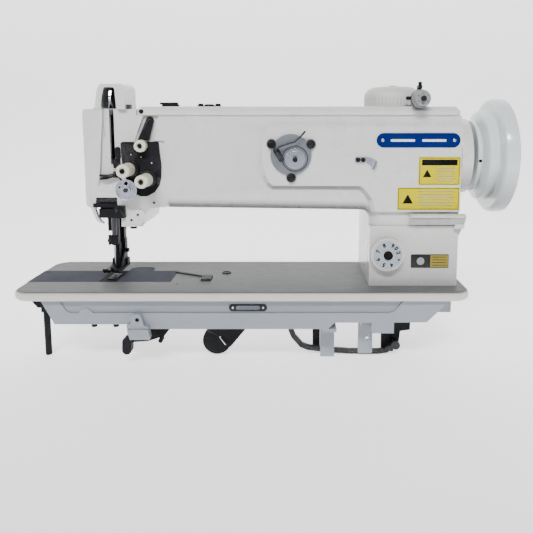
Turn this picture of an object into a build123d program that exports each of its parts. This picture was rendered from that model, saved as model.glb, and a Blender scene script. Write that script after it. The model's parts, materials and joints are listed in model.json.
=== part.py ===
from build123d import *
import os

os.makedirs("parts", exist_ok=True)

# ---------------------------------------------------------------------------
# Long-arm walking-foot lockstitch sewing machine head.  Millimetres, +Z up.
# +X runs along the bed towards the handwheel, -Y faces the operator.
# All sizes below are taken from the needle: X = 0 and Y = 0 at the needle,
# Z = 0 on the bed surface.  The three offsets move that datum so that the
# origin of the whole machine is the middle of its footprint, on the floor.
# ---------------------------------------------------------------------------
XN = -234.0          # needle line, measured in the machine frame
YN = 0.5
ZB = 116.5           # height of the bed surface above the floor
FLOOR = -116.5       # feet level below the bed surface

BED_X0, BED_X1 = -125.0, 523.0
BED_Y0, BED_Y1 = -85.0, 93.0
BED_T = 13.5
BED_CORNER = 26.0
PLATE_Y = 31.0       # half width of the slide plate strip
PLATE_T = 2.5
SLIDE_X0 = -122.5

ARM_Y0, ARM_Y1 = -46.0, 56.0      # front and rear faces of the arm
HEAD_Y0 = -43.0                   # front face of the head
PANEL_Y = -53.0                   # raised panel of the arm
COL_X0, COL_X1 = 382.0, 509.0
COL_Y1 = 90.0
ARM_TOP = 245.0
ARM_UNDER_L, ARM_UNDER_R = 112.0, 108.5
COVER_TOP = 257.5
HEAD_TOP = 254.0
THROAT = 382.0

SHAFT_Z = 185.6                   # main shaft height
SHAFT_R = 7.5
RUN = 0.05                        # radial running clearance
LOW_Y, LOW_Z = -18.0, -42.0       # lower shaft
LOW_R = 6.0
SPROCKET_R = 20.0
BELT_X0, BELT_X1 = 456.0, 472.0

HOOK_X, HOOK_Y, HOOK_R = 20.5, 6.0, 19.5
NEEDLE_R = 0.9
NBAR_R = 3.6
WBAR_R, WBAR_Y = 4.0, 14.0
PBAR_R, PBAR_Y = 4.5, 30.0
FOOT_LIFT = 9.5
STROKE = 36.0
ROCK_Z = 236.0                    # rocking axis of the needle bar frame
TAKE_Y, TAKE_Z = 25.0, 225.0      # take-up lever axis
TAKE_X0, TAKE_X1 = 14.5, 17.5

WHEEL_R = 84.0
WHEEL_X0, WHEEL_X1 = 533.0, 592.0

DIAL_X, DIAL_Z = 406.4, 48.6      # stitch length dial
LIFT_X, LIFT_Y, LIFT_R = 420.0, 8.0, 41.6
WINDER = (268.9, 190.5)
SPINDLE = (274.7, 184.9)
NUT_1 = (43.0, 170.5)
NUT_2 = (67.5, 156.0)
LUG = (53.0, -40.0)                # bell crank pivot
WINDER_SCREWS = ((241.9, 205.6), (296.6, 205.2), (269.4, 158.3))
WINDER_DIAL = (448.9, 267.9)
NUT_0 = (58.0, 202.5)
ROTARY = (38.3, 141.2)


def front(y):
    """Upright plane at depth y that faces the operator: local (X, Z)."""
    return Plane(origin=(XN, YN + y, ZB), x_dir=(1, 0, 0), z_dir=(0, -1, 0))


def level(z):
    """Horizontal plane at height z: local (X, Y)."""
    return Plane(origin=(XN, YN, ZB + z), x_dir=(1, 0, 0), z_dir=(0, 0, 1))


def side(x):
    """Cross plane at x that faces the handwheel: local (Y, Z)."""
    return Plane(origin=(XN + x, YN, ZB), x_dir=(0, 1, 0), z_dir=(1, 0, 0))


def disc(plane, u, v, r, amount, mode=Mode.ADD):
    with BuildSketch(plane) as sk:
        with Locations((u, v)):
            Circle(r)
    extrude(sk.sketch, amount=amount, mode=mode)


def ring(plane, u, v, r_out, r_in, amount, mode=Mode.ADD):
    with BuildSketch(plane) as sk:
        with Locations((u, v)):
            Circle(r_out)
            Circle(r_in, mode=Mode.SUBTRACT)
    extrude(sk.sketch, amount=amount, mode=mode)


def slab(plane, u0, u1, v0, v1, amount, mode=Mode.ADD, r=0.0):
    with BuildSketch(plane) as sk:
        with Locations(((u0 + u1) / 2, (v0 + v1) / 2)):
            if r > 0:
                RectangleRounded(u1 - u0, v1 - v0, r)
            else:
                Rectangle(u1 - u0, v1 - v0)
    extrude(sk.sketch, amount=amount, mode=mode)


def poly(plane, pts, amount, mode=Mode.ADD, r=0.0):
    with BuildSketch(plane) as sk:
        with BuildLine():
            Polyline(*pts, close=True)
        make_face()
        if r > 0:
            fillet(sk.vertices(), r)
    extrude(sk.sketch, amount=amount, mode=mode)


def bar(plane, pts, width, amount, mode=Mode.ADD):
    """A strip of constant width along a chain of points, with round ends."""
    with BuildSketch(plane) as sk:
        with Locations(*pts):
            Circle(width / 2)
        for a, b in zip(pts[:-1], pts[1:]):
            d = Vector(b[0] - a[0], b[1] - a[1])
            n = Vector(-d.Y, d.X).normalized() * (width / 2)
            with BuildLine():
                Polyline((a[0] + n.X, a[1] + n.Y), (b[0] + n.X, b[1] + n.Y),
                         (b[0] - n.X, b[1] - n.Y), (a[0] - n.X, a[1] - n.Y), close=True)
            make_face()
    extrude(sk.sketch, amount=amount, mode=mode)


def save(builder, label):
    builder.part.label = label
    export_step(builder.part, "parts/" + label + ".step")


# ---------------------------------------------------------------------------
# Bed
# ---------------------------------------------------------------------------
HUMP = [(12, 30), (50, 30), (50, 44), (44, 54), (20, 54), (12, 47)]
HUMP_CUT = [(11.7, 29), (50.3, 29), (50.3, 44.1), (44.15, 54.3), (19.85, 54.3), (11.7, 47.1)]

with BuildPart() as bed_plate:
    slab(level(-BED_T), BED_X0, BED_X1, BED_Y0, BED_Y1, BED_T, r=BED_CORNER)
    fillet(bed_plate.edges().group_by(Axis.Z)[0], 5.5)
    fillet(bed_plate.edges().group_by(Axis.Z)[-1], 5.5)
    # recess of the slide plates, with the step for the bobbin-case opener hump
    slab(level(-PLATE_T - 0.1), -130, 90.3, -PLATE_Y - 0.2, PLATE_Y + 0.2, 10, mode=Mode.SUBTRACT)
    poly(level(-PLATE_T - 0.1), HUMP_CUT, 10, mode=Mode.SUBTRACT)
    # well above the hook and the feed
    slab(level(-20), -112, 80, -27, 27, 30, mode=Mode.SUBTRACT)
    # belt way under the column
    slab(level(-20), 450, 478, -48, 34, 30, mode=Mode.SUBTRACT)
    # oil filler, latch pocket, edge guide screw hole
    disc(level(-20), 168, 18, 5.0, 30, mode=Mode.SUBTRACT)
    slab(level(-2.5), 134, 149, -26, -2, 10, mode=Mode.SUBTRACT)
    disc(level(-20), 102, -42, 2.1, 30, mode=Mode.SUBTRACT)
save(bed_plate, "bed_plate")

WALL = [(-86, -BED_T), (-67, -49.5), (37, -49.5), (37, -56.5), (322, -56.5), (331, -47),
        (384, -47), (384, -62.8), (415.5, -62.8), (415.5, -47), (462, -46.5), (495, -BED_T)]
RAISED = [(-86, -BED_T), (-67, -49.5), (37, -49.5), (37, -56.5), (322, -56.5), (331, -47),
          (384, -47), (384, -62.8), (415.5, -62.8), (415.5, -47), (462, -46.5), (495, -BED_T),
          (430, -BED_T), (421, -24), (416, -30), (408, -33), (-12, -33), (-14.5, -29.5),
          (-18, -27), (-22, -26.2), (-26, -27), (-29.5, -29.5), (-32, -33), (-44, -33), (-50, -29.5),
          (-60, -BED_T)]
REAR_WALL = [(-86, -BED_T), (-67, -49.5), (322, -49.5), (331, -47), (462, -46.5), (495, -BED_T)]
with BuildPart() as underbed_frame:
    poly(front(-66), WALL, 6)
    poly(front(-71), RAISED, 3)
    poly(front(82), REAR_WALL, 6)
    for wx, low in ((-66, -49.5), (-21, -49.5), (62, -56), (316, -56), (440, -46.5)):
        slab(side(wx), -67, 77, low, -BED_T, 6)
    # arm that carries the hook shaft
    slab(level(-33), 10, 31, -1.6, 77, 6)
    # end block below the column end of the bed
    slab(level(-47), 478, 508, -30, 40, 47 - BED_T)
    slab(level(-40), 440, 480, 20, 40, 40 - BED_T)
    # bushes' seats and the hinge bosses in the rear wall
    disc(side(-22), LOW_Y, LOW_Z, 9.0, 480, mode=Mode.SUBTRACT)
    disc(level(-40), HOOK_X, HOOK_Y, 4.0 + RUN, 20, mode=Mode.SUBTRACT)
    disc(front(-60), LUG[0], LUG[1], 3.0, 20, mode=Mode.SUBTRACT)
    for hx in (-45, 405):
        disc(front(82), hx, -30, 12.0, 12)
        disc(front(92), hx, -30, 6.1, 30, mode=Mode.SUBTRACT)
save(underbed_frame, "underbed_frame")

# ---------------------------------------------------------------------------
# Arm, head and column: one hollow casting
# ---------------------------------------------------------------------------
with BuildPart() as arm_casting:
    # arm and column core
    with BuildSketch(front(ARM_Y1)) as core:
        with BuildLine():
            Polyline((92, ARM_TOP), (COL_X1, ARM_TOP), (COL_X1, 0), (COL_X0, 0), (COL_X0, ARM_UNDER_R),
                     (92, ARM_UNDER_L), close=True)
        make_face()
        fillet(core.vertices().sort_by(Axis.X)[2:4].sort_by(Axis.Z)[-1], 12)
    extrude(core.sketch, amount=ARM_Y1 - ARM_Y0)
    fillet(arm_casting.edges().filter_by(Axis.X).group_by(Axis.Y)[-1].sort_by(Axis.Z)[-1], 10)
    # round lower front edge of the arm, running down the left edge of the column
    fillet(arm_casting.edges().group_by(Axis.Y)[0].filter_by(lambda e: abs(e.center().Z - ZB - 110) < 3)
           .sort_by(SortBy.LENGTH)[-1], 18)
    # wider foot of the column
    poly(side(COL_X0), [(0, 0), (COL_Y1, 0), (COL_Y1, 90), (ARM_Y1 - 2, 150), (0, 150)], COL_X1 - COL_X0)
    fillet(arm_casting.edges().filter_by(Axis.Z).group_by(Axis.Y)[-1], 10)
    # head block
    poly(front(52), [(-17, HEAD_TOP), (51.2, HEAD_TOP), (51.2, ARM_TOP), (94, ARM_TOP), (94, 115), (78, 113.5),
                     (66.5, 112.2), (58.8, 104), (57, 90), (52.9, 85.8), (20.6, 85.8), (4, 88), (-3.2, 90.2),
                     (-9.2, 92.8), (-11.7, 95.5), (-17, 108.6)], 52 - HEAD_Y0)
    # raised panel on the front, with sloped edges
    poly(front(ARM_Y0 + 1), [(238, 234), (231.8, 230), (223.9, 206.6), (223.9, 181), (228.2, 160), (234, 148),
                             (242, 141.5), (366, 141), (369.5, 138.5), (380.3, 124), (383.6, 109),
                             (COL_X1, 109), (COL_X1, 234)], 1 + ARM_Y0 - PANEL_Y)
    chamfer(arm_casting.edges().group_by(Axis.Y)[0].filter_by(lambda e: e.center().X < XN + 508
                                                              and e.center().Z > ZB + 110), 5)
    slab(front(ARM_Y0 + 12), 390, COL_X1, 105, 146, 14)
    slab(front(ARM_Y0 + 12), COL_X0, COL_X1, 0, 88, 16)
    # upper part and right border of the head flush with the arm, link recess
    slab(front(HEAD_Y0 + 1), 52, 94, 209.5, ARM_TOP, 4)
    slab(front(HEAD_Y0 + 1), 90, 94, 121, 211, 4)
    poly(front(HEAD_Y0 + 1.0), [(61.7, 245.5), (82.8, 245.5), (76.8, 212), (76.2, 209), (47.4, 209)], 20,
         mode=Mode.SUBTRACT)
    slab(front(HEAD_Y0 + 1.2), 4.6, 11.2, 215.5, 256, 10, mode=Mode.SUBTRACT)
    # hollow inside
    slab(level(126), 46, 288, -36, 46, 113, mode=Mode.SUBTRACT, r=8)
    slab(level(126), 300, 497, -36, 46, 113, mode=Mode.SUBTRACT, r=8)
    slab(level(-1), 394, 497, -38, 78, 81, mode=Mode.SUBTRACT, r=8)
    slab(level(79), 394, 497, -38, 46, 50, mode=Mode.SUBTRACT, r=8)
    # head cavity, open to the left, below and at the front window
    slab(level(80), -20, 27, -36, 44, 166, mode=Mode.SUBTRACT)
    poly(front(-30), [(-11, 128.2), (19.5, 128.2), (19.5, 118), (24.5, 110), (24.5, 80), (2, 80), (-2, 91),
                      (-5.5, 94), (-9, 99), (-12.5, 110), (-11, 120)], 20, mode=Mode.SUBTRACT)
    # take-up slot in the front and the top of the head
    slab(front(-30), 12.6, 19.2, 176, 262, 20, mode=Mode.SUBTRACT)
    slab(level(240), 12.6, 19.2, -50, 20, 20, mode=Mode.SUBTRACT)
    # main shaft line
    disc(side(20), 0, SHAFT_Z, 12.0, 500, mode=Mode.SUBTRACT)
    # take-up axle seat, post seats, dial seats
    disc(side(20), TAKE_Y, TAKE_Z, 4.0, 16, mode=Mode.SUBTRACT)
    for (u, v) in (NUT_1, NUT_2, NUT_0, ROTARY):
        disc(front(-36), u, v, 3.0, 20, mode=Mode.SUBTRACT)
    disc(front(-20), DIAL_X, DIAL_Z, 6.0 + RUN, 40, mode=Mode.SUBTRACT)
    disc(front(-20), SPINDLE[0], SPINDLE[1], 3.0 + RUN, 40, mode=Mode.SUBTRACT)
    disc(front(-20), 253.6, 188.4, 3.0 + RUN, 40, mode=Mode.SUBTRACT)
    disc(front(60), 34, 122, 4.0 + RUN, 30, mode=Mode.SUBTRACT)
    # presser bar guide under the head
    slab(level(100), -9, 9, 23.5, 44.5, 16)
    slab(level(226), -9, 9, 23.5, 44.5, 20.5)
    disc(level(90), 0, PBAR_Y, PBAR_R + RUN, 160, mode=Mode.SUBTRACT)
    # service window in the rear wall
    slab(front(60), 218, 338, 142, 218, 16, mode=Mode.SUBTRACT, r=6)
    # reverse lever axle seat in the right wall of the column
    disc(side(500), 12, 40, 4.0 + RUN, 12, mode=Mode.SUBTRACT)
    # attachment boss with its two screw holes
    poly(front(HEAD_Y0 + 2), [(31, 88), (31, 97), (34, 100.4), (46.8, 110.8), (58, 110), (59.1, 105.6), (57.5, 93),
                              (52, 86.5), (33, 86)], 5)
    for (u, v) in ((39.8, 95.7), (49.1, 103.4)):
        disc(front(-30), u, v, 2.0, 20, mode=Mode.SUBTRACT)
    disc(front(-30), 72.2, 120.6, 1.8, 20, mode=Mode.SUBTRACT)
save(arm_casting, "arm_casting")

with BuildPart() as face_plate:
    poly(front(52), [(-27, 248.5), (-23.5, 253), (-20, HEAD_TOP), (-17.1, HEAD_TOP), (-17.1, 110), (-18.2, 112.5),
                     (-25, 116.5), (-27, 121.7)], 52 - HEAD_Y0)
    fillet(face_plate.edges().filter_by(Axis.Z).group_by(Axis.X)[0], 6)
    disc(side(-21), 0, ROCK_Z, 4.0 + RUN, 5, mode=Mode.SUBTRACT)
    for (u, v) in ((-30, 238), (38, 238), (-30, 135), (38, 135)):
        disc(side(-30), u, v, 4.2, 5, mode=Mode.SUBTRACT)
        disc(side(-30), u, v, 2.2, 20, mode=Mode.SUBTRACT)
save(face_plate, "face_plate")

with BuildPart() as top_cover:
    slab(level(ARM_TOP), 51.8, 508, ARM_Y0 - 2, ARM_Y1, COVER_TOP - ARM_TOP, r=8)
    chamfer(top_cover.edges().group_by(Axis.Z)[-1].filter_by(Axis.Y).sort_by(Axis.X)[-1], 6)
    fillet(top_cover.edges().group_by(Axis.Z)[-1].filter_by(Axis.X), 4)
    slab(level(ARM_TOP - 1), 60, 498, ARM_Y0 + 6, ARM_Y1 - 8, 8, mode=Mode.SUBTRACT)
    disc(level(ARM_TOP), LIFT_X, LIFT_Y, 5.0 + RUN, 30, mode=Mode.SUBTRACT)
save(top_cover, "top_cover")

with BuildPart() as rear_arm_cover:
    slab(front(59), 210, 346, 134, 226, 3, r=10)
    for (u, v) in ((218, 142), (338, 142), (218, 218), (338, 218)):
        disc(front(61), u, v, 4.5, 2)
save(rear_arm_cover, "rear_arm_cover")

with BuildPart() as shaft_collar:
    with BuildSketch(side(COL_X1 + 0.1)) as sk_c:
        with Locations((0, SHAFT_Z)):
            Circle(57)
            Circle(26, mode=Mode.SUBTRACT)
    extrude(sk_c.sketch, amount=17, taper=6.5)
    slab(side(COL_X1), -70, 80, SHAFT_Z + 61.3, SHAFT_Z + 90, 40, mode=Mode.SUBTRACT)
save(shaft_collar, "shaft_collar")

with BuildPart() as take_up_guard:
    poly(front(8), [(-5.2, HEAD_TOP + 0.1), (-1.2, 280), (2.5, 287.2), (4.5, 288.6), (34, 288.6), (36.6, 285), (37.4, 280),
                    (37.8, HEAD_TOP + 0.1)], 58)
    poly(front(9), [(-2.9, HEAD_TOP - 1), (0.9, 279.6), (4.3, 285.4), (5.4, 286.4), (33, 286.4), (34.5, 284.3),
                    (35.2, 279.8), (35.6, HEAD_TOP - 1)], 57, mode=Mode.SUBTRACT)
    poly(front(-40), [(3.5, HEAD_TOP - 1), (5.7, 272), (8, 281), (10, 284), (21.5, 284), (23.5, 281),
                      (25.4, HEAD_TOP - 1)], 20, mode=Mode.SUBTRACT)
    # long leg down the front of the head
    poly(front(-43.4), [(-8.2, 256.5), (4.4, 256.5), (4.1, 238.6), (0.4, 197.9), (-2.8, 156.7), (-4.5, 150), (-8.2, 150)], 4.6)
save(take_up_guard, "take_up_guard")

# ---------------------------------------------------------------------------
# Main shaft group
# ---------------------------------------------------------------------------
with BuildPart() as main_shaft:
    disc(side(19), 0, SHAFT_Z, SHAFT_R, WHEEL_X1 + 1 - 19)
    disc(side(46.5), 0, SHAFT_Z, 13, 8)
    disc(side(280), 0, SHAFT_Z, 13, 8)
    disc(side(588.1), 0, SHAFT_Z, 14, 3.4)
save(main_shaft, "main_shaft")

with BuildPart() as shaft_bushes:
    for bx, bl in ((27.5, 18), (288.5, 11), (497.5, 11)):
        ring(side(bx), 0, SHAFT_Z, 12.0, SHAFT_R + RUN, bl)
    for bx in (-21, 62, 316, 440):
        ring(side(bx), LOW_Y, LOW_Z, 9.0, LOW_R + RUN, 6)
save(shaft_bushes, "shaft_bushes")

with BuildPart() as crank_disc:
    with BuildSketch(side(19.5)) as sk_d:
        with Locations((0, SHAFT_Z)):
            Circle(29)
        with Locations((0, SHAFT_Z + 22)):
            Rectangle(70, 20, mode=Mode.SUBTRACT)
        with Locations((0, SHAFT_Z)):
            Circle(15)
            Circle(SHAFT_R, mode=Mode.SUBTRACT)
    extrude(sk_d.sketch, amount=6.5)
    # belt sprocket
    ring(side(BELT_X0), 0, SHAFT_Z, SPROCKET_R, SHAFT_R, BELT_X1 - BELT_X0)
    with BuildSketch(side(BELT_X0)) as sk_t:
        with Locations((0, SHAFT_Z)):
            with PolarLocations(SPROCKET_R, 24):
                Circle(1.2)
    extrude(sk_t.sketch, amount=BELT_X1 - BELT_X0, mode=Mode.SUBTRACT)
    ring(side(BELT_X0 - 2), 0, SHAFT_Z, SPROCKET_R + 2.6, SHAFT_R, 2)
    ring(side(BELT_X1), 0, SHAFT_Z, SPROCKET_R + 2.6, SHAFT_R, 2)
save(crank_disc, "shaft_fittings")

with BuildPart() as handwheel:
    with BuildSketch(front(0)) as sk_w:
        with BuildLine():
            Polyline((533, SHAFT_Z + SHAFT_R), (533, SHAFT_Z + 51.5), (534.5, SHAFT_Z + 53), (537, SHAFT_Z + 53),
                     (539.5, SHAFT_Z + 47), (541, SHAFT_Z + 47), (542.6, SHAFT_Z + 56), (544, SHAFT_Z + 62),
                     (545.5, SHAFT_Z + 64.8), (559, SHAFT_Z + 64.8), (560, SHAFT_Z + 66), (560, SHAFT_Z + 78),
                     (562, SHAFT_Z + 82), (566.5, SHAFT_Z + 84), (578.5, SHAFT_Z + 84), (581, SHAFT_Z + 81.5),
                     (581, SHAFT_Z + 74), (566, SHAFT_Z + 70), (556, SHAFT_Z + 56), (545, SHAFT_Z + 46),
                     (545, SHAFT_Z + 25), (574, SHAFT_Z + 20), (588, SHAFT_Z + 18), (588, SHAFT_Z + SHAFT_R), close=True)
        make_face()
    revolve(sk_w.sketch, axis=Axis((XN, YN, ZB + SHAFT_Z), (1, 0, 0)))
    for (u, v) in ((0, 36), (31.2, -18), (-31.2, -18)):
        disc(side(539), u, SHAFT_Z + v, 7, 20, mode=Mode.SUBTRACT)
save(handwheel, "handwheel")

# toothed belt, carried from the main shaft down to the lower shaft
with BuildPart() as timing_belt:
    with BuildSketch(side(BELT_X0 + 0.5)) as sk_b:
        with Locations((0, SHAFT_Z), (LOW_Y, LOW_Z)):
            Circle(SPROCKET_R + 2.2)
        make_hull()
        with BuildSketch(side(BELT_X0 + 0.5), mode=Mode.PRIVATE) as sk_bi:
            with Locations((0, SHAFT_Z), (LOW_Y, LOW_Z)):
                Circle(SPROCKET_R + 0.3)
            make_hull()
        add(sk_bi.sketch_local, mode=Mode.SUBTRACT)
    extrude(sk_b.sketch, amount=BELT_X1 - BELT_X0 - 1)
save(timing_belt, "timing_belt")

# ---------------------------------------------------------------------------
# Lower shaft, hook and feed
# ---------------------------------------------------------------------------
with BuildPart() as lower_shaft:
    disc(side(-24), LOW_Y, LOW_Z, LOW_R, 500)
    disc(side(-14.5), LOW_Y, LOW_Z, 10, 6)
    # hook drive gear, pitch cylinder, and the belt sprocket
    ring(side(HOOK_X - 8), LOW_Y, LOW_Z, 15.6, LOW_R, 16)
    ring(side(BELT_X0), LOW_Y, LOW_Z, SPROCKET_R, LOW_R, BELT_X1 - BELT_X0)
    ring(side(BELT_X0 - 2), LOW_Y, LOW_Z, SPROCKET_R + 2.6, LOW_R, 2)
    ring(side(BELT_X1), LOW_Y, LOW_Z, SPROCKET_R + 2.6, LOW_R, 2)
save(lower_shaft, "lower_shaft")

with BuildPart() as rotating_hook:
    disc(level(-52), HOOK_X, HOOK_Y, 4.0, 30)
    disc(level(-50), HOOK_X, HOOK_Y, 8.0, 15)
    disc(level(-25.5), HOOK_X, HOOK_Y, HOOK_R - 3, 4)
    ring(level(-21.5), HOOK_X, HOOK_Y, HOOK_R, HOOK_R - 2.2, 15.5)
    disc(level(-21.5), HOOK_X, HOOK_Y, HOOK_R, 1.6)
    slab(level(-16), HOOK_X - 22, HOOK_X - 12, HOOK_Y - 3, HOOK_Y + 9, 5, mode=Mode.SUBTRACT)
save(rotating_hook, "rotating_hook")

with BuildPart() as bobbin_case:
    ring(level(-19.5), HOOK_X, HOOK_Y, HOOK_R - 2.6, HOOK_R - 4.0, 13.5)
    disc(level(-19.5), HOOK_X, HOOK_Y, HOOK_R - 2.6, 1.2)
    disc(level(-19.5), HOOK_X, HOOK_Y, 3.0, 12.5)
    # the bobbin on its post
    ring(level(-18.1), HOOK_X, HOOK_Y, HOOK_R - 4.4, 3.1, 1.0)
    ring(level(-8.6), HOOK_X, HOOK_Y, HOOK_R - 4.4, 3.1, 1.0)
    ring(level(-17.1), HOOK_X, HOOK_Y, 11.5, 3.1, 8.5)
save(bobbin_case, "bobbin_case")

with BuildPart() as needle_plate:
    slab(level(-PLATE_T), -17, 10, -PLATE_Y, PLATE_Y, PLATE_T)
    slab(level(-PLATE_T - 1), -7.6, 6.1, -20.5, 20.5, 6, mode=Mode.SUBTRACT, r=1)
    for (u, v) in ((-9.5, 26), (4, -26)):
        disc(level(-1.4), u, v, 3.4, 3, mode=Mode.SUBTRACT)
        disc(level(-1.4), u, v, 2.9, 1.2)
save(needle_plate, "needle_plate")

with BuildPart() as feed_dog:
    slab(level(-3.8), -7.0, 5.4, -15, 15, 4.4)
    for gx in (-5.6, -3.4, -1.2, 1.0, 3.2):
        slab(level(0.1), gx, gx + 0.9, -14, 14, 2, mode=Mode.SUBTRACT)
    for gy in (-12, -9.5, -7, -4.5, 4.5, 7, 9.5, 12):
        slab(level(0.1), -8, 6, gy - 0.35, gy + 0.35, 2, mode=Mode.SUBTRACT)
    disc(level(-6), 0, 0, 1.6, 10, mode=Mode.SUBTRACT)
    slab(level(-12.5), -13.5, -3.0, -21, 21, 9.0)
    slab(level(-12.5), -7.0, -3.0, -15, 15, 9.5)
save(feed_dog, "feed_dog")

with BuildPart() as slide_plate_left:
    slab(level(-PLATE_T), SLIDE_X0, -17.2, -PLATE_Y, PLATE_Y, PLATE_T)
    disc(level(-1.0), -112, 22, 2.6, 3, mode=Mode.SUBTRACT)
save(slide_plate_left, "slide_plate_left")

with BuildPart() as slide_plate_right:
    slab(level(-PLATE_T), 10.2, 90, -PLATE_Y, PLATE_Y, PLATE_T)
    poly(level(-PLATE_T), HUMP, PLATE_T)
    disc(level(-1.2), 80, 2, 3.4, 3, mode=Mode.SUBTRACT)
    disc(level(-1.2), 80, 2, 2.9, 1.1)
save(slide_plate_right, "slide_plate_right")

with BuildPart() as oil_plug:
    disc(level(-12), 168, 18, 4.9, 12)
    ring(level(0.05), 168, 18, 7.0, 4.2, 1.8)
    disc(level(0), 168, 18, 4.3, 0.9)
    # latch strip and its block
    slab(level(-2.4), 134.2, 148.8, -25.8, -2.2, 5.4)
    bar(level(0.1), [(89, 20), (112, 8), (141, -8)], 4.2, 2.2)
    slab(level(3.0), 139.2, 143.8, -26.5, -1.5, 3, mode=Mode.SUBTRACT)
save(oil_plug, "bed_fittings")

# ---------------------------------------------------------------------------
# Needle bar, feet and take-up
# ---------------------------------------------------------------------------
with BuildPart() as needle_bar_frame:
    slab(level(100), -6.5, 6.5, -13, -7, ROCK_Z + 5 - 100)
    slab(level(104), -6.5, 6.5, -13, 20, 14)
    slab(level(216), -6.5, 6.5, -13, 20, ROCK_Z + 5 - 216)
    disc(level(90), 0, 0, NBAR_R + RUN, 170, mode=Mode.SUBTRACT)
    disc(level(90), 0, WBAR_Y, WBAR_R + RUN, 170, mode=Mode.SUBTRACT)
    disc(side(-20.5), 0, ROCK_Z, 4.0, 14.5)
save(needle_bar_frame, "needle_bar_frame")

with BuildPart() as needle_bar:
    disc(level(51.5), 0, 0, NBAR_R, 207 - 51.5)
    # link to the crank, opened at its crank end
    slab(side(-3), -5.5, 5.5, 166, 178, 7)
    bar(side(8.6), [(0, 172), (0, SHAFT_Z + 19)], 9.0, 3.2)
    disc(side(3.9), 0, 172, 3.0, 8)
    disc(side(8.6), 0, SHAFT_Z + 19, 3.0, 10.4)
save(needle_bar, "needle_bar")

with BuildPart() as needle_clamp:
    disc(level(51), 0, 0, 6.0, 13)
    disc(level(49.5), 0, 0, 4.2, 1.6)
    disc(level(40), 0, 0, NBAR_R, 40, mode=Mode.SUBTRACT)
    disc(level(49), 0, 0, NEEDLE_R, 3, mode=Mode.SUBTRACT)
    disc(side(-10), 0, 56, 2.6, 4.6)
    slab(level(49.5), -8.6, -6.0, -3, 3, 15)
save(needle_clamp, "needle_clamp")

with BuildPart() as needle:
    disc(level(18), 0, 0, NEEDLE_R, 33.4)
    with BuildSketch(level(13)) as n0:
        Circle(0.12)
    with BuildSketch(level(18)) as n1:
        Circle(NEEDLE_R)
    loft([n0.sketch.face(), n1.sketch.face()])
save(needle, "needle")

with BuildPart() as walking_bar:
    disc(level(36), 0, WBAR_Y, WBAR_R, 200 - 36)
    disc(level(150), 0, WBAR_Y, 6.4, 8)
save(walking_bar, "walking_bar")

with BuildPart() as walking_foot:
    slab(level(FOOT_LIFT), -3.4, 3.4, -13, 10, 3.2, r=1.5)
    slab(level(FOOT_LIFT), -3.4, 3.4, 8.2, 19.5, 8)
    slab(level(FOOT_LIFT + 6), -4.4, 4.4, 8.8, 19.8, 34)
    disc(level(36), 0, WBAR_Y, WBAR_R, 30, mode=Mode.SUBTRACT)
    disc(level(5), 0, 0, 1.7, 10, mode=Mode.SUBTRACT)
    poly(side(-2.4), [(-13, 12), (-19, 17), (-19, 19.5), (-12, 12.6)], 4.8)
save(walking_foot, "walking_foot")

with BuildPart() as presser_bar:
    disc(level(30), 0, PBAR_Y, PBAR_R, 246 - 30)
    # lifting bracket on the bar, between the two guides
    slab(level(130), -8, 22, 24.2, 38, 10)
    # lower guide block seen under the head
    slab(level(66), -17, 8, 24.0, 37, 26)
    slab(level(54), -8, 7.5, 25, 36.5, 14)
save(presser_bar, "presser_bar")

with BuildPart() as presser_foot:
    slab(level(FOOT_LIFT), -13, -5, -16, 30, 3.2)
    slab(level(FOOT_LIFT), 5, 11.5, -16, 30, 3.2)
    slab(level(FOOT_LIFT), -13, 11.5, 25.2, 38, 12)
    slab(level(FOOT_LIFT + 6), -8.5, 8.5, 25.0, 37.5, 38)
    poly(side(-13), [(-16, 9.5), (-22, 14), (-22, 17), (-15, 12.7)], 8)
    poly(side(5), [(-16, 9.5), (-22, 14), (-22, 17), (-15, 12.7)], 6.5)
    poly(side(6.3), [(2, 12.6), (27, 12.6), (27, 40), (22, 34)], 2.2)
    disc(level(30), 0, PBAR_Y, PBAR_R, 60, mode=Mode.SUBTRACT)
    disc(side(8.4), 31, 34, 3.4, 4)
save(presser_foot, "presser_foot")

with BuildPart() as presser_spring:
    ring(level(140.2), 0, PBAR_Y, 7.0, 5.2, 85)
save(presser_spring, "presser_spring")

with BuildPart() as take_up_lever:
    disc(side(TAKE_X0), TAKE_Y, TAKE_Z, 9, TAKE_X1 - TAKE_X0)
    bar(side(TAKE_X0), [(TAKE_Y, TAKE_Z), (-18, 252), (-44, 268)], 8.0, TAKE_X1 - TAKE_X0)
    bar(side(TAKE_X0), [(-40, 266), (-44, 272), (-42, 278)], 6.0, TAKE_X1 - TAKE_X0)
    disc(side(TAKE_X0 - 1), -42, 278, 1.4, 6, mode=Mode.SUBTRACT)
    disc(side(TAKE_X1), TAKE_Y, TAKE_Z, 3.95, 18)
save(take_up_lever, "take_up_lever")

# lifting lever behind the head
with BuildPart() as hand_lifter:
    disc(front(60), 34, 122, 3.95, 14)
    bar(front(63.5), [(34, 122), (60, 126), (84, 132)], 11, 5)
    disc(front(63.5), 34, 122, 10, 5.3)
    disc(front(68), 84, 132, 8, 9)
save(hand_lifter, "hand_lifter")

# ---------------------------------------------------------------------------
# Thread tension group on the head
# ---------------------------------------------------------------------------
with BuildPart() as tension_plate:
    poly(front(HEAD_Y0), [(27.6, 207.8), (81.5, 208.3), (84.6, 175), (84, 158), (81, 146), (74, 136), (64, 130.5),
                          (54, 130), (46, 134), (36, 148), (29.5, 170)], 2.0, r=3)
    for (u, v) in (NUT_1, NUT_2, NUT_0, ROTARY):
        disc(front(HEAD_Y0 + 1), u, v, 3.0, 8, mode=Mode.SUBTRACT)
save(tension_plate, "tension_plate")

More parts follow.
